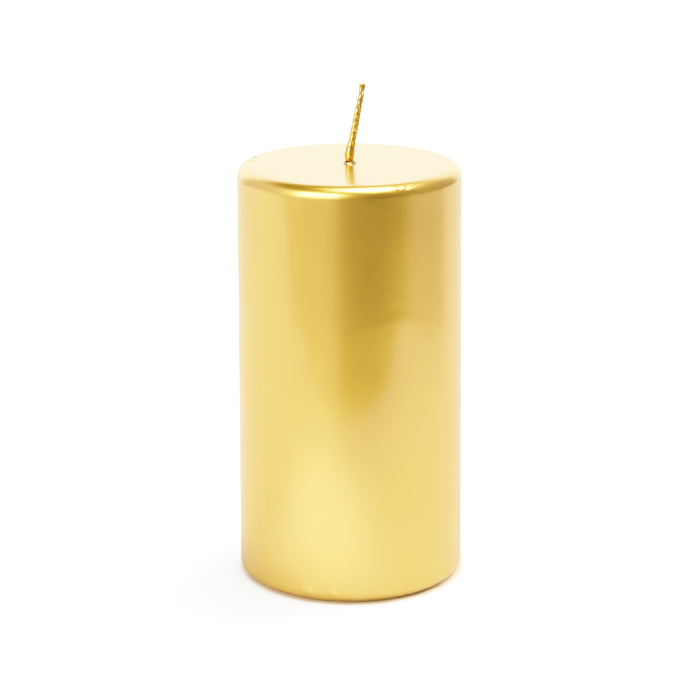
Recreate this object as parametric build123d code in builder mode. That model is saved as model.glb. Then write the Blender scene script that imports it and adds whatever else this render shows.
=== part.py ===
from build123d import *
import math
import os

# Lacquered pillar candle, standing on the plane Z = 0, axis along +Z.
# Millimetres. The free end of the wick leans towards +X.
#
# From the outside in: a thin metallic lacquer coat, a harder over-dipped wax
# skin, and a pressed wax core with the wick running up its middle. The wick
# is held at the bottom by a stamped tinplate sustainer let into the base, and
# leaves the top through a small raised collar of lacquered wax.

# ---- driving dimensions ------------------------------------------------------
body_d = 69.2            # mean outside diameter over the lacquer
body_h = 130.0           # base to flat top
draft = 1.6              # how much wider the body is at the base than at the top
edge_r = 3.7             # outside radius of the top and bottom edges

lacquer_t = 0.2          # metallic lacquer coat
dip_t = 1.0              # over-dipped hard-wax skin

lacquer_foot_r = 24.0    # the lacquer wraps under the base as far in as this
dip_foot_r = 22.5        # and the dipped skin as far in as this

wick_r = 1.0             # braided cotton, waxed
coat_t = 0.15            # lacquer on the exposed wick
wick_len = 24.0          # exposed wick above its bending point
wick_lean = 10.0         # degrees from upright, towards +X
bend_z = body_h + 1.0    # height of the wick's bending point
bend_gap = 0.1           # between the buried wick's end and the free wick's ball
coat_start = 0.4         # the coat on the free wick starts this far up it
tip_len = 3.5            # length of the pressed-flat tip
tip_w, tip_t = 2.2, 1.2  # cotton at the flat tip, across and through

hole_r = 1.5             # wick opening in lacquer, skin and collar
collar_r = 2.0           # outside radius of the collar
collar_h = 0.7
collar_edge = 0.2        # rounding of the collar's two top edges

tin_r = 10.0             # sustainer disc
tin_t = 0.3              # tinplate thickness
tin_z = 0.2              # the disc sits this far up inside the base
tin_neck_h = 8.0         # height of the neck above the disc
tin_bend_r = 0.6         # outside bend between disc and neck

# ---- derived -----------------------------------------------------------------
r_top = body_d / 2 - draft / 4
r_base = body_d / 2 + draft / 4


def outline(inset):
    """Corner points (radius, height) of the body's half section, inset all round."""
    slope = (r_base - r_top) / body_h
    top, low = body_h - inset, inset
    return [
        (0, low),
        (r_base - slope * low - inset, low),
        (r_base - slope * top - inset, top),
        (0, top),
    ]


def is_rim(vertex):
    return vertex.X > 10


skin_in = lacquer_t + dip_t

lean_axis = (math.sin(math.radians(wick_lean)), 0, math.cos(math.radians(wick_lean)))
lean_side = (math.cos(math.radians(wick_lean)), 0, -math.sin(math.radians(wick_lean)))
wick_plane = Plane(origin=(0, 0, bend_z), x_dir=lean_side, z_dir=lean_axis)

neck_top = tin_z + tin_t + tin_neck_h
neck_r = wick_r + tin_t

os.makedirs("parts", exist_ok=True)

# ---- pressed wax core ----------------------------------------------------------
with BuildPart() as wax_core:
    with BuildSketch(Plane.XZ) as core_section:
        with BuildLine():
            Polyline(*outline(skin_in), close=True)
        make_face()
        fillet(core_section.vertices().filter_by(is_rim), radius=edge_r - skin_in)
    revolve(axis=Axis.Z)
    # the middle of the base comes down to the standing surface
    with BuildSketch(Plane.XY):
        Circle(dip_foot_r)
    extrude(amount=skin_in)
    # shallow recess for the sustainer's disc, and the hole its neck fills
    with BuildSketch(Plane.XZ) as recess:
        with BuildLine():
            foot = (neck_r + tin_bend_r, tin_z + tin_t)
            Polyline((0, 0), (tin_r, 0), (tin_r, tin_z + tin_t), foot)
            TangentArc(foot, (neck_r, tin_z + tin_t + tin_bend_r), tangent=(-1, 0))
            Polyline(
                (neck_r, tin_z + tin_t + tin_bend_r), (neck_r, neck_top), (0, neck_top), (0, 0)
            )
        make_face()
    revolve(axis=Axis.Z, mode=Mode.SUBTRACT)
    # wick bore, from end to end
    with BuildSketch(Plane.XY):
        Circle(wick_r)
    extrude(amount=body_h, mode=Mode.SUBTRACT)
wax_core.part.label = "wax_core"

# ---- over-dipped hard-wax skin ---------------------------------------------------
with BuildPart() as overdip_shell:
    with BuildSketch(Plane.XZ) as skin_outer:
        with BuildLine():
            Polyline(*outline(lacquer_t), close=True)
        make_face()
        fillet(skin_outer.vertices().filter_by(is_rim), radius=edge_r - lacquer_t)
    revolve(axis=Axis.Z)
    # its foot comes down beside the lacquer's
    with BuildSketch(Plane.XY):
        Circle(lacquer_foot_r)
    extrude(amount=lacquer_t)
    with BuildSketch(Plane.XZ) as skin_inner:
        with BuildLine():
            Polyline(*outline(skin_in), close=True)
        make_face()
        fillet(skin_inner.vertices().filter_by(is_rim), radius=edge_r - skin_in)
    revolve(axis=Axis.Z, mode=Mode.SUBTRACT)
    with BuildSketch(Plane.XY):
        Circle(dip_foot_r)
    extrude(amount=skin_in, mode=Mode.SUBTRACT)
    with BuildSketch(Plane.XY.offset(body_h / 2)):
        Circle(hole_r)
    extrude(amount=body_h, mode=Mode.SUBTRACT)
overdip_shell.part.label = "overdip_shell"

# ---- metallic lacquer coat -------------------------------------------------------
with BuildPart() as gold_lacquer:
    with BuildSketch(Plane.XZ) as coat_outer:
        with BuildLine():
            Polyline(*outline(0), close=True)
        make_face()
        fillet(coat_outer.vertices().filter_by(is_rim), radius=edge_r)
    revolve(axis=Axis.Z)
    with BuildSketch(Plane.XZ) as coat_inner:
        with BuildLine():
            Polyline(*outline(lacquer_t), close=True)
        make_face()
        fillet(coat_inner.vertices().filter_by(is_rim), radius=edge_r - lacquer_t)
    revolve(axis=Axis.Z, mode=Mode.SUBTRACT)
    with BuildSketch(Plane.XY):
        Circle(lacquer_foot_r)
    extrude(amount=lacquer_t, mode=Mode.SUBTRACT)
    with BuildSketch(Plane.XY.offset(body_h / 2)):
        Circle(hole_r)
    extrude(amount=body_h, mode=Mode.SUBTRACT)
gold_lacquer.part.label = "gold_lacquer"

# ---- collar of lacquered wax around the wick ---------------------------------------
with BuildPart() as wick_collar:
    with BuildSketch(Plane.XY.offset(body_h)):
        Circle(collar_r)
        Circle(hole_r, mode=Mode.SUBTRACT)
    extrude(amount=collar_h)
    fillet(wick_collar.faces().sort_by(Axis.Z)[-1].edges(), radius=collar_edge)
wick_collar.part.label = "wick_collar"

# ---- buried length of the wick -------------------------------------------------------
with BuildPart() as wick_stem:
    with BuildSketch(Plane.XY.offset(tin_z)):
        Circle(wick_r)
    extrude(amount=bend_z - wick_r - bend_gap - tin_z)
wick_stem.part.label = "wick_stem"

# ---- exposed length of the wick --------------------------------------------------------
# A ball at the bending point, a round braid, and a tip pressed flat where it was cut.
with BuildPart() as wick_tip:
    with BuildSketch(wick_plane):
        Circle(wick_r)
    extrude(amount=wick_len - tip_len)
    with BuildSketch(wick_plane.offset(wick_len - tip_len)):
        Circle(wick_r)
    with BuildSketch(wick_plane.offset(wick_len)):
        Ellipse(tip_w / 2, tip_t / 2)
    loft()
    with Locations((0, 0, bend_z)):
        Sphere(wick_r)
wick_tip.part.label = "wick_tip"

# ---- lacquer on the exposed wick ---------------------------------------------------------
with BuildPart() as wick_lacquer:
    with BuildSketch(wick_plane.offset(coat_start)):
        Circle(wick_r + coat_t)
    extrude(amount=wick_len - tip_len - coat_start)
    with BuildSketch(wick_plane.offset(wick_len - tip_len)):
        Circle(wick_r + coat_t)
    with BuildSketch(wick_plane.offset(wick_len + coat_t)):
        Ellipse(tip_w / 2 + coat_t, tip_t / 2 + coat_t)
    loft()
    add(wick_tip.part, mode=Mode.SUBTRACT)
wick_lacquer.part.label = "wick_lacquer"

# ---- tinplate sustainer --------------------------------------------------------------------
# A disc with a neck drawn up from its middle, which grips the end of the wick.
with BuildPart() as wick_sustainer:
    with BuildSketch(Plane.XZ):
        with BuildLine():
            knee = (neck_r + tin_bend_r, tin_z + tin_t)
            Polyline((wick_r, neck_top), (wick_r, tin_z), (tin_r, tin_z), (tin_r, tin_z + tin_t), knee)
            TangentArc(knee, (neck_r, tin_z + tin_t + tin_bend_r), tangent=(-1, 0))
            Polyline((neck_r, tin_z + tin_t + tin_bend_r), (neck_r, neck_top), (wick_r, neck_top))
        make_face()
    revolve(axis=Axis.Z)
wick_sustainer.part.label = "wick_sustainer"

export_step(wax_core.part, "parts/wax_core.step")
export_step(overdip_shell.part, "parts/overdip_shell.step")
export_step(gold_lacquer.part, "parts/gold_lacquer.step")
export_step(wick_collar.part, "parts/wick_collar.step")
export_step(wick_stem.part, "parts/wick_stem.step")
export_step(wick_tip.part, "parts/wick_tip.step")
export_step(wick_lacquer.part, "parts/wick_lacquer.step")
export_step(wick_sustainer.part, "parts/wick_sustainer.step")
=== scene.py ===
import bpy
import math
import numpy as np
from mathutils import Matrix, Vector


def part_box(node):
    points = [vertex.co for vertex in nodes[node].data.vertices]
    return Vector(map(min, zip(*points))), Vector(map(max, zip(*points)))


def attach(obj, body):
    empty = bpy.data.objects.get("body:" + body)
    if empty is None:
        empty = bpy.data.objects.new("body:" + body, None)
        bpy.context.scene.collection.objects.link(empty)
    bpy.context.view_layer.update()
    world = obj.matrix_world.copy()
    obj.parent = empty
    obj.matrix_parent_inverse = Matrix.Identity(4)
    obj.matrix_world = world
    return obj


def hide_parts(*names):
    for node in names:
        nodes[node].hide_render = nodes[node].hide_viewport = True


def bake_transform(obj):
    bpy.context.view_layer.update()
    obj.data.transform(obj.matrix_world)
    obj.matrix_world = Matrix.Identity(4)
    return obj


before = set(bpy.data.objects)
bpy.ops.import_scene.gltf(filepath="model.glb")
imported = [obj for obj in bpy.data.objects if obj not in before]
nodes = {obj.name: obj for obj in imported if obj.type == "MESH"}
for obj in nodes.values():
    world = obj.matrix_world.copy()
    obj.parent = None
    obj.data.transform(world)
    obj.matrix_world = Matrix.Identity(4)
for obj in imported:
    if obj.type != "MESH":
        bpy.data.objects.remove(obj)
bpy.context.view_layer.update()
MM = 0.001

# ------------------------------------------------------------------ the frame's own sizes (mm)
lo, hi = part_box("gold_lacquer")
H = hi.z / MM                           # the flat top
R_BASE_EXT = round(hi.x / MM + 0.02, 2) # the wall's radius carried on down to the floor
R_TOP = R_BASE_EXT - 0.8                # the body's slight draft
EDGE = 3.7                              # edge radius, top and bottom
COAT = 0.2                              # lacquer thickness
FOOT = 24.0                             # how far in under the base the lacquer reaches
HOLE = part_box("wick_collar")[1].x / MM - 0.5
rng = np.random.default_rng(20)

# ------------------------------------------------------------------ camera
cam_data = bpy.data.cameras.new("camera")
cam = bpy.data.objects.new("camera", cam_data)
bpy.context.scene.collection.objects.link(cam)
cam_data.sensor_width = 36.0
cam_data.lens = 124.54
cam_data.clip_start = 0.01
cam_data.clip_end = 50.0
PITCH = 0.28871
cam.matrix_world = (
    Matrix.Translation((-0.00003, -0.72120, 0.28507))
    @ Matrix.Rotation(math.pi / 2 - PITCH, 4, "X")
    @ Matrix.Rotation(-0.00357, 4, "Z")
)
bpy.context.scene.camera = cam


# ------------------------------------------------------------------ helpers
def link(obj):
    bpy.context.scene.collection.objects.link(obj)
    return obj


def grid_mesh(name, points, close_u=True, close_v=False):
    """points[v][u] is (x, y, z) in mm. u runs round the piece."""
    nv, nu = points.shape[:2]
    co = points.reshape(-1, 3) * MM
    v = np.arange(nv if close_v else nv - 1)[:, None]
    u = np.arange(nu if close_u else nu - 1)[None, :]
    v2, u2 = (v + 1) % nv, (u + 1) % nu
    quads = np.stack(
        np.broadcast_arrays(v * nu + u, v * nu + u2, v2 * nu + u2, v2 * nu + u), -1
    ).reshape(-1, 4)
    return raw_mesh(name, co, quads)


def raw_mesh(name, co, quads):
    me = bpy.data.meshes.new(name)
    me.vertices.add(len(co))
    me.vertices.foreach_set("co", np.asarray(co, np.float32).ravel())
    me.loops.add(quads.size)
    me.loops.foreach_set("vertex_index", quads.astype(np.int32).ravel())
    me.polygons.add(len(quads))
    me.polygons.foreach_set("loop_start", np.arange(0, quads.size, 4, dtype=np.int32))
    me.polygons.foreach_set("loop_total", np.full(len(quads), 4, np.int32))
    me.update(calc_edges=True)
    me.validate()
    me.polygons.foreach_set("use_smooth", np.ones(len(me.polygons), bool))
    return link(bpy.data.objects.new(name, me))


def sharpen(obj, degrees=35):
    """Marks the edges where two faces meet at more than this angle."""
    import bmesh

    bm = bmesh.new()
    bm.from_mesh(obj.data)
    for e in bm.edges:
        if len(e.link_faces) == 2 and e.calc_face_angle(0) > math.radians(degrees):
            e.smooth = False
    bm.to_mesh(obj.data)
    bm.free()


def smoothstep(x, a, b):
    t = np.clip((x - a) / (b - a), 0, 1)
    return t * t * (3 - 2 * t)


class Tree:
    """Shorthand for building a shader node tree."""

    def __init__(self, tree):
        self.t = tree
        self.t.nodes.clear()

    def new(self, kind, **props):
        n = self.t.nodes.new(kind)
        for k, v in props.items():
            setattr(n, k, v)
        return n

    def put(self, socket, value):
        if isinstance(value, bpy.types.NodeSocket):
            self.t.links.new(value, socket)
        elif isinstance(value, (tuple, list)) and len(value) == 3 and len(socket.default_value) == 4:
            socket.default_value = (*value, 1.0)
        else:
            socket.default_value = value

    def math(self, op, a, b=None, c=None, clamp=False):
        n = self.new("ShaderNodeMath", operation=op, use_clamp=clamp)
        self.put(n.inputs[0], a)
        if b is not None:
            self.put(n.inputs[1], b)
        if c is not None:
            self.put(n.inputs[2], c)
        return n.outputs[0]

    def step(self, value, a, b, lo=0.0, hi=1.0, kind="SMOOTHSTEP"):
        n = self.new("ShaderNodeMapRange", interpolation_type=kind)
        self.put(n.inputs["Value"], value)
        n.inputs["From Min"].default_value = a
        n.inputs["From Max"].default_value = b
        n.inputs["To Min"].default_value = lo
        n.inputs["To Max"].default_value = hi
        return n.outputs["Result"]

    def noise(self, vector, scale, detail=2.0, rough=0.5, out="Fac"):
        n = self.new("ShaderNodeTexNoise")
        self.put(n.inputs["Vector"], vector)
        n.inputs["Scale"].default_value = scale
        n.inputs["Detail"].default_value = detail
        n.inputs["Roughness"].default_value = rough
        return n.outputs[out]

    def voronoi(self, vector, scale, out="Color", feature="F1"):
        n = self.new("ShaderNodeTexVoronoi", feature=feature)
        self.put(n.inputs["Vector"], vector)
        n.inputs["Scale"].default_value = scale
        return n.outputs[out]

    def mix(self, fac, a, b):
        n = self.new("ShaderNodeMix", data_type="RGBA")
        self.put(n.inputs[0], fac)
        self.put(n.inputs[6], a)
        self.put(n.inputs[7], b)
        return n.outputs[2]

    def vec(self, op, a, b=None):
        n = self.new("ShaderNodeVectorMath", operation=op)
        self.put(n.inputs[0], a)
        if b is not None:
            if op == "SCALE":
                self.put(n.inputs["Scale"], b)
            else:
                self.put(n.inputs[1], b)
        return n.outputs["Value" if op in ("DISTANCE", "LENGTH", "DOT_PRODUCT") else "Vector"]

    def bump(self, height, distance, strength=1.0, normal=None):
        n = self.new("ShaderNodeBump")
        self.put(n.inputs["Height"], height)
        n.inputs["Distance"].default_value = distance
        n.inputs["Strength"].default_value = strength
        if normal is not None:
            self.put(n.inputs["Normal"], normal)
        return n.outputs["Normal"]


def material(name):
    m = bpy.data.materials.new(name)
    m.use_nodes = True
    t = Tree(m.node_tree)
    bsdf = t.new("ShaderNodeBsdfPrincipled")
    out = t.new("ShaderNodeOutputMaterial")
    t.t.links.new(bsdf.outputs[0], out.inputs["Surface"])
    coord = t.new("ShaderNodeTexCoord").outputs["Object"]
    return m, t, bsdf, coord


def paint(obj, mat):
    obj.data.materials.clear()
    obj.data.materials.append(mat)
    return obj


# ------------------------------------------------------------------ materials
def gold(name, deep, pale, rough, coat, coat_rough, flake=1.0, tilt=0.05, coat_ior=1.5, shaded_root=None):
    m, t, b, co = material(name)
    # flake grain: cells of about 0.4 mm, each tilted its own way and a little lighter or darker
    cell = t.voronoi(co, 2600.0)
    sep = t.new("ShaderNodeSeparateColor")
    t.put(sep.inputs[0], cell)
    fine = t.noise(co, 2600.0, 3.0, 0.6)
    broad = t.noise(co, 42.0, 3.0, 0.55)
    tone = t.math("MULTIPLY_ADD", t.math("SUBTRACT", sep.outputs[0], 0.5), 0.34 * flake, 0.5)
    tone = t.math("MULTIPLY_ADD", t.math("SUBTRACT", fine, 0.5), 0.9 * flake, tone)
    tone = t.math("MULTIPLY_ADD", t.math("SUBTRACT", broad, 0.5), 0.5, tone, clamp=True)
    colour = t.mix(tone, deep, pale)
    if shaded_root:  # painted shade: darker brown below this height, in mm, for the recess round the wick's root
        height = t.new("ShaderNodeSeparateXYZ")
        t.put(height.inputs[0], co)
        colour = t.mix(t.step(height.outputs[2], shaded_root[0] * MM, shaded_root[1] * MM), tuple(c * k for c, k in zip(deep, (0.5, 0.4, 0.6))), colour)
    t.put(b.inputs["Base Color"], colour)
    b.inputs["Metallic"].default_value = 1.0
    rr = t.math("MULTIPLY_ADD", t.math("SUBTRACT", broad, 0.5), 0.10, rough)
    rr = t.math("MULTIPLY_ADD", t.math("SUBTRACT", sep.outputs[1], 0.5), 0.02, rr)
    t.put(b.inputs["Roughness"], rr)
    # each flake's own tilt
    jitter = t.vec("SUBTRACT", cell, (0.5, 0.5, 0.5))
    jitter = t.vec("SCALE", jitter, tilt)
    n = t.vec("NORMALIZE", t.vec("ADD", t.bump(fine, 0.00002, 0.35), jitter))
    t.put(b.inputs["Normal"], n)
    b.inputs["Coat Weight"].default_value = coat
    b.inputs["Coat Roughness"].default_value = coat_rough
    b.inputs["Coat IOR"].default_value = coat_ior
    b.inputs["Specular Tint"].default_value = (1.0, 0.9, 0.65, 1.0)
    return m


GOLD = gold("gold_lacquer_satin", (0.82, 0.40, 0.035), (0.95, 0.51, 0.075), 0.32, 0.55, 0.12, 0.22, 0.022, 1.9)
# the wick's material gets painted shade in the recess round its root, between 131.3 and 132.1 mm
GOLD_WICK = gold("gold_lacquer_on_braid", (0.66, 0.35, 0.045), (0.84, 0.48, 0.085), 0.27, 0.6, 0.12, 0.15, 0.008, 1.8, (131.3, 132.1))
GOLD_COLLAR = gold("gold_lacquer_on_collar", (0.60, 0.34, 0.05), (0.90, 0.63, 0.20), 0.2, 0.9, 0.08, 0.6)


def wax(name, low, high, rough, sss, grain):
    m, t, b, co = material(name)
    broad = t.noise(co, 90.0, 4.0, 0.6)
    fine = t.noise(co, 900.0, 3.0, 0.6)
    pits = t.voronoi(co, 700.0, "Distance")
    t.put(b.inputs["Base Color"], t.mix(t.math("MULTIPLY_ADD", t.math("SUBTRACT", fine, 0.5), 0.5, broad, clamp=True), low, high))
    t.put(b.inputs["Roughness"], t.math("MULTIPLY_ADD", broad, 0.2, rough))
    b.inputs["Subsurface Weight"].default_value = sss
    b.inputs["Subsurface Radius"].default_value = (0.004, 0.003, 0.002)
    b.inputs["Subsurface Scale"].default_value = 1.0
    b.inputs["IOR"].default_value = 1.44
    nrm = t.bump(pits, 0.0002, grain)
    nrm = t.bump(fine, 0.00006, 0.5, nrm)
    t.put(b.inputs["Normal"], nrm)
    return m


WAX_CORE = wax("pressed_wax", (0.86, 0.80, 0.66), (0.95, 0.92, 0.84), 0.5, 0.25, 0.8)
WAX_DIP = wax("dipped_wax", (0.90, 0.83, 0.66), (0.96, 0.91, 0.78), 0.28, 0.3, 0.15)


def cotton_material():
    m, t, b, co = material("waxed_cotton")
    weave = t.new("ShaderNodeTexWave", wave_type="BANDS", bands_direction="DIAGONAL")
    t.put(weave.inputs["Vector"], co)
    weave.inputs["Scale"].default_value = 260.0
    weave.inputs["Distortion"].default_value = 2.0
    fibre = t.noise(co, 5200.0, 3.0, 0.6)
    t.put(b.inputs["Base Color"], t.mix(fibre, (0.62, 0.52, 0.36), (0.90, 0.84, 0.70)))
    b.inputs["Roughness"].default_value = 0.62
    t.put(b.inputs["Normal"], t.bump(weave.outputs[1], 0.0001, 0.6, t.bump(fibre, 0.00005, 0.5)))
    return m


def tin_material():
    m, t, b, co = material("stamped_tinplate")
    stretch = t.new("ShaderNodeMapping")
    stretch.inputs["Scale"].default_value = (1.0, 14.0, 1.0)
    t.put(stretch.inputs["Vector"], co)
    rolled = t.noise(stretch.outputs[0], 260.0, 4.0, 0.6)
    blotch = t.noise(co, 120.0, 3.0, 0.6)
    t.put(b.inputs["Base Color"], t.mix(blotch, (0.50, 0.50, 0.48), (0.72, 0.72, 0.70)))
    b.inputs["Metallic"].default_value = 1.0
    t.put(b.inputs["Roughness"], t.math("MULTIPLY_ADD", rolled, 0.25, 0.22))
    t.put(b.inputs["Normal"], t.bump(rolled, 0.00003, 0.5))
    return m


COTTON = cotton_material()
TIN = tin_material()


# ------------------------------------------------------------------ the lacquer coat
def wall_r(z):
    return R_BASE_EXT - (R_BASE_EXT - R_TOP) * z / H


def surface_point(phi_deg, z=None, r=None):
    """A point on the coat at this azimuth (0 faces -Y, positive towards +X)."""
    p = math.radians(phi_deg)
    if r is None:
        top, low = H - EDGE, EDGE
        if z > top:
            r = wall_r(z) - EDGE + math.sqrt(max(EDGE**2 - (z - top) ** 2, 0))
        elif z < low:
            r = wall_r(z) - EDGE + math.sqrt(max(EDGE**2 - (low - z) ** 2, 0))
        else:
            r = wall_r(z)
    else:
        z = H
        edge = wall_r(H) - EDGE
        if r > edge:
            z = H - EDGE + math.sqrt(max(EDGE**2 - (r - edge) ** 2, 0))
    return np.array([r * math.sin(p), -r * math.cos(p), z])


def lacquer_profile():
    rows, kind = [], []  # (radius, z, normal r, normal z)
    rc_top, rc_low = wall_r(H - EDGE) - EDGE, wall_r(EDGE) - EDGE
    rows.append((HOLE, H - COAT, -1, 0, 0))
    for r in np.linspace(HOLE, rc_top, 23)[:-1]:
        rows.append((r, H, 0, 1, 1))
    for a in np.linspace(90, 0, 20):
        c, s = math.cos(math.radians(a)), math.sin(math.radians(a))
        rows.append((rc_top + EDGE * c, H - EDGE + EDGE * s, c, s, 1))
    for z in np.linspace(H - EDGE, EDGE, 84)[1:-1]:
        rows.append((wall_r(z), z, 1, 0, 1))
    for a in np.linspace(0, -90, 20):
        c, s = math.cos(math.radians(a)), math.sin(math.radians(a))
        rows.append((rc_low + EDGE * c, EDGE + EDGE * s, c, s, 1))
    for r in np.linspace(rc_low, FOOT, 4)[1:]:
        rows.append((r, 0, 0, -1, 0))
    e = EDGE - COAT
    rows.append((FOOT, COAT, -1, 0, 0))
    for a in np.linspace(-90, 0, 5):
        c, s = math.cos(math.radians(a)), math.sin(math.radians(a))
        rows.append((rc_low + e * c, EDGE + e * s, 0, 0, 0))
    for z in np.linspace(EDGE, H - EDGE, 4)[1:-1]:
        rows.append((wall_r(z) - COAT, z, 0, 0, 0))
    for a in np.linspace(0, 90, 5):
        c, s = math.cos(math.radians(a)), math.sin(math.radians(a))
        rows.append((rc_top + e * c, H - EDGE + e * s, 0, 0, 0))
    return np.array(rows, float)


# (azimuth, height or None, radius or None, spread, height of the bump), mm
BUMPS = [
    # rough patch of the coat on the front right of the rim
    (22.0, 129.3, None, 0.50, 0.08), (24.5, 128.9, None, 0.42, 0.13), (27.3, 128.6, None, 0.60, 0.10),
    (29.0, 129.1, None, 0.35, 0.12), (30.8, 128.0, None, 0.50, 0.16), (33.0, 128.4, None, 0.40, 0.15),
    (35.0, 128.1, None, 0.45, 0.15), (36.2, 127.2, None, 0.35, 0.09), (38.0, 126.2, None, 0.32, 0.09),
    (12.4, 127.8, None, 0.30, 0.06), (11.9, 125.8, None, 0.35, 0.07),
    # beads of lacquer on the left of the rim
    (-107.5, None, 30.8, 0.38, 0.42), (-104.5, None, 31.4, 0.30, 0.28), (-97.0, None, 30.5, 0.34, 0.34),
    (-93.5, None, 31.8, 0.28, 0.26), (-79.2, None, 33.4, 0.30, 0.20), (-99.5, None, 32.2, 0.28, 0.22),
    # lumps along the bottom edge
    (-26.3, 4.3, None, 0.35, -0.14), (-24.9, 3.7, None, 0.50, 0.20), (-21.3, 3.6, None, 0.90, 0.30),
    (-8.1, 3.4, None, 0.80, 0.30), (16.5, 3.5, None, 0.95, 0.30), (20.2, 2.8, None, 0.70, 0.22),
    (3.0, 2.0, None, 1.40, 0.08), (-14.5, 2.0, None, 1.20, 0.08),
    # single specks
    (6.0, 11.0, None, 0.30, 0.07), (70.8, 73.6, None, 0.35, 0.12),
]
more = np.random.default_rng(7)
for k in range(16):  # the rest of the way round
    phi = 45 + k * 17.0 + more.uniform(-6, 6)
    BUMPS.append((phi, more.uniform(1.6, 3.8), None, more.uniform(0.6, 1.3), more.uniform(0.07, 0.17)))
for k in range(9):
    BUMPS.append((more.uniform(60, 250), more.uniform(125, 129.4), None, more.uniform(0.25, 0.5), more.uniform(0.04, 0.1)))
for k in range(10):
    BUMPS.append((more.uniform(60, 300), more.uniform(8, 120), None, more.uniform(0.25, 0.4), more.uniform(0.03, 0.07)))

RIPPLE = [(-57.5, 94.0, 0.0), (-45.7, 92.8, 0.5), (-36.2, 90.6, 0.9), (-21.8, 86.6, 1.0), (-11.4, 84.4, 1.0), (2.5, 86.4, 1.0),
          (17.8, 88.7, 1.0), (31.8, 89.7, 0.8), (46.3, 85.6, 0.45), (59.0, 82.7, 0.0)]


def waves(seed, count, low, high):
    r = np.random.default_rng(seed)
    return [(r.integers(1, high) * 1.0, r.uniform(low, 2.2 * low), r.uniform(0, 2 * np.pi), r.uniform(-1, 1)) for _ in range(count)]


def build_lacquer():
    prof = lacquer_profile()
    nu = 576
    phi = np.arange(nu) / nu * 2 * np.pi
    sx, cy = np.sin(phi), -np.cos(phi)
    r, z, nr, nz, on = (prof[:, i][:, None] for i in range(5))
    P = np.stack(np.broadcast_arrays(r * sx, r * cy, z + 0 * sx), -1)
    N = np.stack(np.broadcast_arrays(nr * sx, nr * cy, nz + 0 * sx), -1)
    d = np.zeros(P.shape[:2])
    ph = np.broadcast_to(phi, d.shape)
    zz, rr = np.broadcast_to(z, d.shape), np.broadcast_to(r, d.shape)
    wall = smoothstep(zz, 2, 10) * (1 - smoothstep(zz, H - 8, H - 2))
    # slow unevenness of the dipped wall
    for k, lam, p0, tilt in waves(3, 9, 22.0, 6):
        d += wall * 0.011 * np.sin(k * ph + 2 * np.pi * zz / lam + p0)
    # the faint ripple across the front, where a run of dip wax set
    pp = np.degrees((ph + np.pi) % (2 * np.pi) - np.pi)
    xs = np.array([a for a, _, _ in RIPPLE])
    every = np.linspace(-180, 180, 721)
    soft = np.exp(-((np.arange(-40, 41) * 0.5 / 6.0) ** 2))
    soft /= soft.sum()

    def eased(values):
        v = np.interp(every, xs, values)
        return np.interp(pp, every, np.convolve(np.pad(v, 40, mode="edge"), soft, "valid"))

    line, gain = eased([b for _, b, _ in RIPPLE]), eased([c for _, _, c in RIPPLE])
    dz = zz - line
    d += wall * gain * (0.055 * np.exp(-((dz / 1.7) ** 2)) + 0.030 * np.exp(-(((dz + 4.5) / 3.2) ** 2)))
    # the flat top: a slight rise to the wick and a soft unevenness
    top = (zz > H - 0.01) * 1.0
    d += top * (0.16 * np.exp(-((np.maximum(rr - HOLE, 0) / 1.1) ** 1.5)))
    for k, lam, p0, tilt in waves(5, 6, 18.0, 4):
        d += top * smoothstep(rr, 3, 10) * 0.006 * np.sin(k * ph + 2 * np.pi * rr / lam + p0)
    # the top edge is not quite even, the bottom edge has the thicker rim that dipping leaves
    rim = np.exp(-(((zz - (H - 1.5)) / 1.8) ** 2)) * (rr > 25)
    d += rim * 0.05 * np.sin(3 * ph + 1.0) + rim * 0.03 * np.sin(7 * ph + 2.2)
    low = np.exp(-(((zz - 2.6) / 1.6) ** 2)) * (rr > 25)
    d += low * (0.04 + 0.035 * np.sin(9 * ph + 0.4) + 0.03 * np.sin(17 * ph + 2.0) + 0.025 * np.sin(31 * ph))
    for a, hz, hr, s, h in BUMPS:
        q = surface_point(a, hz, hr)
        d += h * np.exp(-((P - q) ** 2).sum(-1) / (2 * s * s))
    d *= on
    P = P + N * d[..., None]
    P[..., 2] = np.maximum(P[..., 2], 0.0)
    obj = grid_mesh("lacquer_coat", P, close_u=True, close_v=True)
    sharpen(obj, 40)
    paint(obj, GOLD)
    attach(obj, "candle")
    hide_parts("gold_lacquer")
    return obj


lacquer = build_lacquer()


# ------------------------------------------------------------------ the collar round the wick
def build_collar():
    nu = 128
    phi = np.arange(nu) / nu * 2 * np.pi          # from -Y towards +X
    sx, cy = np.sin(phi), -np.cos(phi)
    right = np.exp(-((np.angle(np.exp(1j * (phi - math.radians(95))))) / 0.42) ** 2)
    lumps = 0.05 * np.sin(3 * phi + 0.6) + 0.04 * np.sin(5 * phi + 2.0) + 0.03 * np.sin(8 * phi)
    top = H + 0.58 + lumps - 0.16 * right          # never above the CAD collar's top by more than its roundness
    out = 2.00 + 0.05 * np.sin(4 * phi + 1.0) + 0.42 * right
    inn = HOLE + 0.0 * phi
    rows = []
    def row(rad, z):
        rows.append(np.stack([rad * sx, rad * cy, z + 0 * phi], -1))
    row(inn, H - 0.25 + 0 * phi)
    row(inn, H + 0.20 + 0 * phi)
    row(inn + 0.02, top - 0.16)
    for a in np.linspace(165, 15, 9):              # the rounded crest
        c, s = math.cos(math.radians(a)), math.sin(math.radians(a))
        mid, half = (inn + out) / 2 - 0.04, (out - inn) / 2 - 0.06
        row(mid + half * c, top - 0.14 + 0.14 * s)
    row(out - 0.08, H + 0.30 + lumps)
    row(out - 0.05 - 0.10 * right, H + 0.16 + 0 * phi)     # undercut below the lip
    row(out + 0.10, H + 0.07 + 0 * phi)
    row(out + 0.34, H + 0.015 + 0 * phi)
    row(out + 0.55, H - 0.03 + 0 * phi)
    row(out + 0.2, H - 0.12 + 0 * phi)
    P = np.array(rows)
    obj = grid_mesh("wick_collar_ring", P, close_u=True, close_v=True)
    paint(obj, GOLD_COLLAR)
    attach(obj, "candle")
    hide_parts("wick_collar")
    return obj


collar = build_collar()


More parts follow.
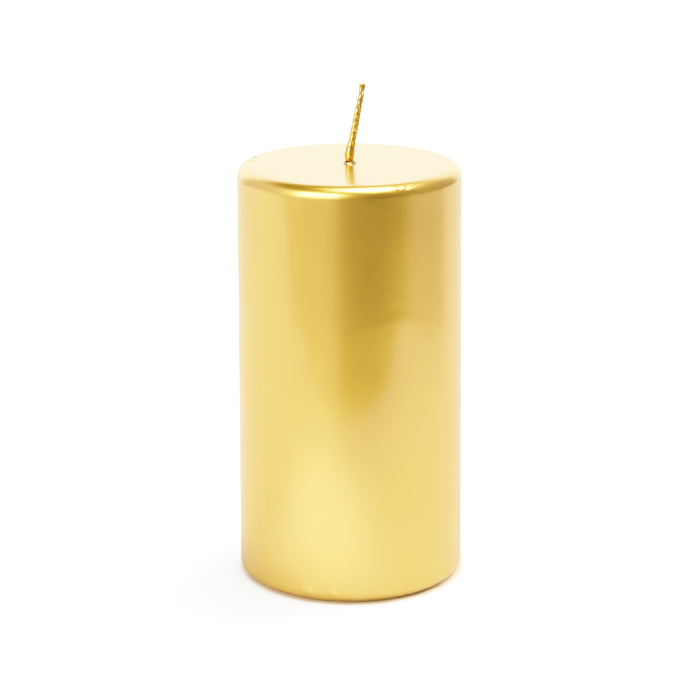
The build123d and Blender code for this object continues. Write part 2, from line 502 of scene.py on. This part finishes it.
# ------------------------------------------------------------------ the braided wick
WICK_LINE = np.array([  # centreline, x and z in mm; it leans in the plane y = 0
    (0.00, 128.9), (-0.05, 130.0), (-0.06, 131.0), (-0.02, 132.0), (0.08, 133.2), (0.28, 134.5),
    (0.52, 135.6), (0.85, 137.1), (1.26, 139.3), (1.80, 141.8), (2.22, 144.2), (2.74, 146.7),
    (3.24, 149.1), (3.66, 151.0), (3.86, 152.6), (3.96, 153.8), (3.98, 154.55),
])
# how thick the lacquered braid is: height and half width in mm
WICK_GIRTH = [(128.9, 0.95), (130.5, 1.08), (131.1, 1.20), (131.7, 1.36), (132.5, 1.50), (133.6, 1.48), (134.6, 1.40),
              (135.8, 1.26), (137.1, 1.16), (145.2, 1.15), (147.2, 1.08), (149.2, 1.02), (151.0, 0.95), (152.6, 0.98), (154.55, 1.04)]


def wick_frame(n):
    """Evenly spaced points down the wick's centreline, with the tangent and the sideways direction at each."""
    p = WICK_LINE
    t = np.concatenate([[0], np.cumsum(np.hypot(*np.diff(p, axis=0).T))])
    # Catmull-Rom through the points
    fine = []
    q = np.vstack([2 * p[0] - p[1], p, 2 * p[-1] - p[-2]])
    for i in range(1, len(q) - 2):
        for s in np.linspace(0, 1, 12, endpoint=False):
            a, b, c, e = q[i - 1], q[i], q[i + 1], q[i + 2]
            fine.append(0.5 * (2 * b + (c - a) * s + (2 * a - 5 * b + 4 * c - e) * s**2 + (3 * b - a - 3 * c + e) * s**3))
    fine.append(p[-1])
    fine = np.array(fine)
    along = np.concatenate([[0], np.cumsum(np.hypot(*np.diff(fine, axis=0).T))])
    s = np.linspace(0, along[-1], n)
    x, z = np.interp(s, along, fine[:, 0]), np.interp(s, along, fine[:, 1])
    dx, dz = np.gradient(x, s), np.gradient(z, s)
    L = np.hypot(dx, dz)
    tangent = np.stack([dx / L, 0 * dx, dz / L], -1)
    side = np.stack([dz / L, 0 * dx, -dx / L], -1)
    return s, np.stack([x, 0 * x, z], -1), tangent, side


def build_wick():
    n, m = 300, 24
    s, C, T, U = wick_frame(n)
    V = np.array([0.0, 1.0, 0.0])
    total = s[-1]
    girth = np.interp(C[:, 2], [z for z, _ in WICK_GIRTH], [r for _, r in WICK_GIRTH])
    ring = np.arange(m) / m * 2 * np.pi
    cos, quads, base = [], [], 0
    tip = smoothstep(s, total - 4.0, total - 0.4)          # the pinched end
    plait = 6.4
    for k in range(3):
        t = 2 * np.pi * (s / plait + k / 3) + 0.9
        a = 0.15 * girth * (1 - tip)
        b = 0.09 * girth * (1 - tip)
        fan = (k - 1) * 0.34 * tip                          # at the cut end the bundles lie side by side
        u = a * np.sin(t) + fan
        v = b * np.sin(2 * t) + 0.06 * tip * (k - 1) ** 2
        w = 0.87 * girth + 0.015 * np.sin(2 * np.pi * s / 2.3 + k)
        wu = w * (1 - 0.16 * tip)
        wv = w * (1 - 0.22 * tip)
        centre = C + U * u[:, None] + V * v[:, None]
        pts = (
            centre[:, None, :]
            + U[:, None, :] * (wu[:, None] * np.cos(ring))[..., None]
            + V * (wv[:, None] * np.sin(ring))[..., None]
        )
        # the cut: slightly slanted, each bundle at its own height, with a rounded end
        cut = total - (0.10, 0.30, 0.02)[k] - 0.25 * 0
        keep = s <= cut
        pts = pts[keep]
        nn = len(pts)
        end = pts[-1].mean(0)
        cap = end + (pts[-1] - end) * 0.55 + T[keep][-1] * 0.16
        apex = end + T[keep][-1] * 0.22
        foot = pts[0].mean(0)
        pts = np.concatenate([pts, cap[None]])
        nn += 1
        v0 = np.arange(nn - 1)[:, None]
        u0 = np.arange(m)[None, :]
        q = np.stack(np.broadcast_arrays(v0 * m + u0, v0 * m + (u0 + 1) % m, (v0 + 1) * m + (u0 + 1) % m, (v0 + 1) * m + u0), -1).reshape(-1, 4) + base
        cos.append(pts.reshape(-1, 3)); quads.append(q)
        lo_i, hi_i = base + len(pts) * m, base + len(pts) * m + 1
        cos.append(np.array([foot, apex]))
        last = base + (nn - 1) * m
        tri = [(base + (j + 1) % m, base + j, lo_i) for j in range(m)] + [(last + j, last + (j + 1) % m, hi_i) for j in range(m)]
        quads.append(tri)
        base += len(pts) * m + 2
    co = np.concatenate(cos) * MM
    faces = [tuple(int(i) for i in f) for block in quads for f in block]
    me = bpy.data.meshes.new("braid_raw")
    me.from_pydata([tuple(c) for c in co], [], faces)
    raw = link(bpy.data.objects.new("braid_raw", me))
    mod = raw.modifiers.new("skin", "REMESH")
    mod.mode = "VOXEL"
    mod.voxel_size = 0.105 * MM
    mod.adaptivity = 0.0
    sm = raw.modifiers.new("soften", "SMOOTH")
    sm.factor = 0.5
    sm.iterations = 9
    dg = bpy.context.evaluated_depsgraph_get()
    mesh = bpy.data.meshes.new_from_object(raw.evaluated_get(dg), depsgraph=dg)
    bpy.data.objects.remove(raw)
    mesh.name = "braided_wick"
    obj = link(bpy.data.objects.new("braided_wick", mesh))
    c = np.zeros(len(mesh.vertices) * 3, np.float32)
    mesh.vertices.foreach_get("co", c)
    nrm = np.zeros_like(c)
    mesh.vertices.foreach_get("normal", nrm)
    c, nrm = c.reshape(-1, 3), nrm.reshape(-1, 3)
    mm = c / MM
    add = np.zeros(len(c))
    cx = np.interp(mm[:, 2], WICK_LINE[:, 1], WICK_LINE[:, 0])
    # the fold down the cut end, open towards the front and running out lower down
    fold = smoothstep(mm[:, 2], 150.0, 153.0) * (mm[:, 1] < 0.1)
    add -= 0.40 * fold * np.exp(-(((mm[:, 0] - cx - 0.22) / 0.17) ** 2))
    # a shallow seam between two strands further down
    seam = smoothstep(mm[:, 2], 133.5, 136.0) * (1 - smoothstep(mm[:, 2], 149.4, 151.4)) * (mm[:, 1] < 0.1)
    add -= 0.10 * seam * np.exp(-(((mm[:, 0] - cx - 0.18 - 0.10 * np.sin(mm[:, 2] * 1.1)) / 0.20) ** 2))
    # runs and beads of lacquer: across from the centreline, front to back, height, spread, how proud
    beads = [(-0.85, -0.75, 145.6, 0.26, 0.16), (-0.62, -0.85, 141.4, 0.28, 0.16), (0.22, -1.05, 139.3, 0.26, 0.14),
             (-0.40, -1.30, 134.2, 0.42, 0.16), (-0.75, -1.20, 132.2, 0.36, 0.14)]
    rnd = np.random.default_rng(11)
    for _ in range(16):
        a0 = rnd.uniform(0, 2 * np.pi)
        beads.append((1.1 * np.cos(a0), 1.1 * np.sin(a0), rnd.uniform(134, 153), rnd.uniform(0.20, 0.34), rnd.uniform(0.02, 0.05)))
    for bx, by, bz, sg, up in beads:
        q = np.array([np.interp(bz, WICK_LINE[:, 1], WICK_LINE[:, 0]) + bx, by, bz])
        add += up * np.exp(-((mm - q) ** 2).sum(1) / (2 * sg * sg))
    c = c + nrm * (add * MM)[:, None]
    mesh.vertices.foreach_set("co", c.astype(np.float32).ravel())
    mesh.update()
    mesh.polygons.foreach_set("use_smooth", np.ones(len(mesh.polygons), bool))
    paint(obj, GOLD_WICK)
    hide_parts("wick_tip", "wick_lacquer")
    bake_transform(obj)
    return obj


wick = build_wick()

# ------------------------------------------------------------------ the CAD nodes that stay
paint(nodes["wax_core"], WAX_CORE)
paint(nodes["overdip_shell"], WAX_DIP)
paint(nodes["wick_stem"], COTTON)
paint(nodes["wick_sustainer"], TIN)

# ------------------------------------------------------------------ floor
def build_floor():
    x0, x1, y0, y1 = -0.75, 0.30, -0.22, 1.9
    me = bpy.data.meshes.new("floor")
    me.from_pydata([(x0, y0, 0), (x1, y0, 0), (x1, y1, 0), (x0, y1, 0)], [], [(0, 1, 2, 3)])
    obj = link(bpy.data.objects.new("floor", me))
    # a matt white table. The picture is exposed so that it prints as pure white away from the candle.
    m = bpy.data.materials.new("white_table")
    m.use_nodes = True
    t = Tree(m.node_tree)
    co = t.new("ShaderNodeTexCoord").outputs["Object"]
    dull, seen = t.new("ShaderNodeBsdfDiffuse"), t.new("ShaderNodeBsdfDiffuse")
    # painted light: a brighter pool on the table in front on the left, standing in for the softbox's pool of light,
    # which the lacquer mirrors
    off = t.vec("SUBTRACT", co, (-0.045, -0.095, 0.0))
    painted_light_pool = t.step(t.vec("LENGTH", off), 0.02, 0.105, 1.0, 0.0)
    t.put(dull.inputs["Color"], t.mix(painted_light_pool, (0.31, 0.30, 0.26), (0.52, 0.52, 0.51)))
    white = t.mix(t.noise(co, 60.0), (0.80, 0.80, 0.80), (0.82, 0.82, 0.82))
    # painted contact shadow close around the candle's foot, tinted tan as by the light that the gold throws on the
    # table
    ring = t.step(t.vec("LENGTH", t.vec("SUBTRACT", co, (0.0009, 0.0, 0.0))), 0.0338, 0.0372, 1.0, 0.0)
    t.put(seen.inputs["Color"], t.mix(ring, white, (0.56, 0.40, 0.22)))
    pick = t.new("ShaderNodeMixShader")
    t.put(pick.inputs[0], t.new("ShaderNodeLightPath").outputs["Is Camera Ray"])
    t.t.links.new(dull.outputs[0], pick.inputs[1])
    t.t.links.new(seen.outputs[0], pick.inputs[2])
    t.t.links.new(pick.outputs[0], t.new("ShaderNodeOutputMaterial").inputs["Surface"])
    paint(obj, m)
    return obj


floor = build_floor()


# ------------------------------------------------------------------ the studio
def build_world():
    w = bpy.data.worlds.new("studio")
    bpy.context.scene.world = w
    w.use_nodes = True
    t = Tree(w.node_tree)
    out = t.new("ShaderNodeOutputWorld")
    co = t.new("ShaderNodeTexCoord").outputs["Generated"]
    sep = t.new("ShaderNodeSeparateXYZ")
    t.put(sep.inputs[0], co)
    x, y, z = sep.outputs
    az = t.math("ARCTAN2", x, t.math("MULTIPLY", y, -1.0))       # 0 faces the viewer, positive towards +X
    el = t.math("ARCSINE", z)
    deg = math.radians

    def band(value, low, high, soft):
        a = t.step(value, deg(low - soft), deg(low + soft))
        b = t.step(value, deg(high - soft), deg(high + soft), 1.0, 0.0)
        return t.math("MULTIPLY", a, b)

    def round_band(low, high, soft):
        """The same for azimuth, which wraps."""
        mid, half = (low + high) / 2, (high - low) / 2
        d = t.math("ABSOLUTE", t.math("WRAP", t.math("SUBTRACT", az, deg(mid)), math.pi, -math.pi))
        return t.step(d, deg(half - soft), deg(half + soft), 1.0, 0.0)

    def blob(a0, a1, asoft, e0, e1, esoft, strength):
        v = t.math("MULTIPLY", round_band(a0, a1, asoft), band(el, e0, e1, esoft))
        return t.math("MULTIPLY", v, strength)

    def disc(a, e, radius, soft, strength):
        """A round light centred on this azimuth and elevation."""
        d = (math.cos(deg(e)) * math.sin(deg(a)), -math.cos(deg(e)) * math.cos(deg(a)), math.sin(deg(e)))
        off = t.math("ARCCOSINE", t.vec("DOT_PRODUCT", co, d))
        return t.math("MULTIPLY", t.step(off, deg(radius - soft), deg(radius + soft), 1.0, 0.0), strength)

    def together(specs, start):
        total = start
        for spec in specs:
            total = t.math("ADD", total, blob(*spec))
        return total

    # what the lacquer mirrors
    light = together([
        (-58, -12, 6, 0, 44, 5, 3.6),               # tall softbox, front left
        (-54, -14, 4, 22, 39, 4, 12.0),             # and its bright middle
        (140, 220, 10, -5, 40, 10, 2.2),            # the white backdrop
        (-150, -64, 10, -5, 45, 8, 0.8),            # white wall on the left
        (-120, -78, 6, -45, -5, 5, 1.6),            # white card below the table's edge on the left
        (-78, -50, 6, -45, -5, 5, 0.6),
        (-50, -12, 6, -45, -5, 5, 0.5),
        (-12, 62, 6, -45, -5, 5, 0.22),
        (62, 112, 8, -45, -5, 5, 0.68),
        (112, 180, 8, -45, -5, 5, 1.2),             # and on the right, behind
        (0, 60, 8, -5, 45, 8, 0.15),
        (60, 140, 12, 0, 62, 8, 0.4),               # the room on the right
    ], t.math("ADD", disc(70, 76, 22, 4, 7.0), disc(70, 76, 15, 4, 9.0)))     # overhead, to the right
    # what lights the matt table: softer, and mostly from above and from behind on the right
    matt = together([
        (95, 180, 15, 8, 60, 8, 13.0),
        (-181, 181, 1, 55, 95, 8, 2.2),
    ], 0.35)
    path = t.new("ShaderNodeLightPath").outputs
    power = t.new("ShaderNodeMix", data_type="FLOAT")
    t.put(power.inputs[0], path["Is Diffuse Ray"])
    t.put(power.inputs[2], light)
    t.put(power.inputs[3], matt)
    light = power.outputs[0]
    seen = t.new("ShaderNodeBackground")
    seen.inputs["Color"].default_value = (1, 1, 1, 1)
    seen.inputs["Strength"].default_value = 4.0
    lit = t.new("ShaderNodeBackground")
    lit.inputs["Color"].default_value = (1, 1, 1, 1)
    t.put(lit.inputs["Strength"], light)
    mix = t.new("ShaderNodeMixShader")
    t.put(mix.inputs[0], path["Is Camera Ray"])
    t.t.links.new(lit.outputs[0], mix.inputs[1])
    t.t.links.new(seen.outputs[0], mix.inputs[2])
    t.t.links.new(mix.outputs[0], out.inputs["Surface"])


build_world()

# ------------------------------------------------------------------ the picture's tone: a soft shoulder to white
view = bpy.context.scene.view_settings
view.view_transform = "Standard"
view.use_curve_mapping = True
cm = view.curve_mapping
TOP = 2.4                                  # the light value that prints as white
cm.white_level = (TOP, TOP, TOP)
curve = cm.curves[3]
stops = [0.0, 0.04, 0.10, 0.18, 0.28, 0.40, 0.54, 0.70, 0.86, 1.0]
for px in stops[1:-1]:
    curve.points.new(px, 1.0 - math.exp(-1.86 * TOP * px))
curve.points[0].location = (0.0, 0.0)
curve.points[-1].location = (1.0, 1.0)
blue = cm.curves[2]                        # deeper yellow in the dark half
for px, py in [(0.012, 0.007), (0.03, 0.028), (0.06, 0.066), (0.12, 0.125), (0.28, 0.28)]:
    blue.points.new(px, py)
cm.update()
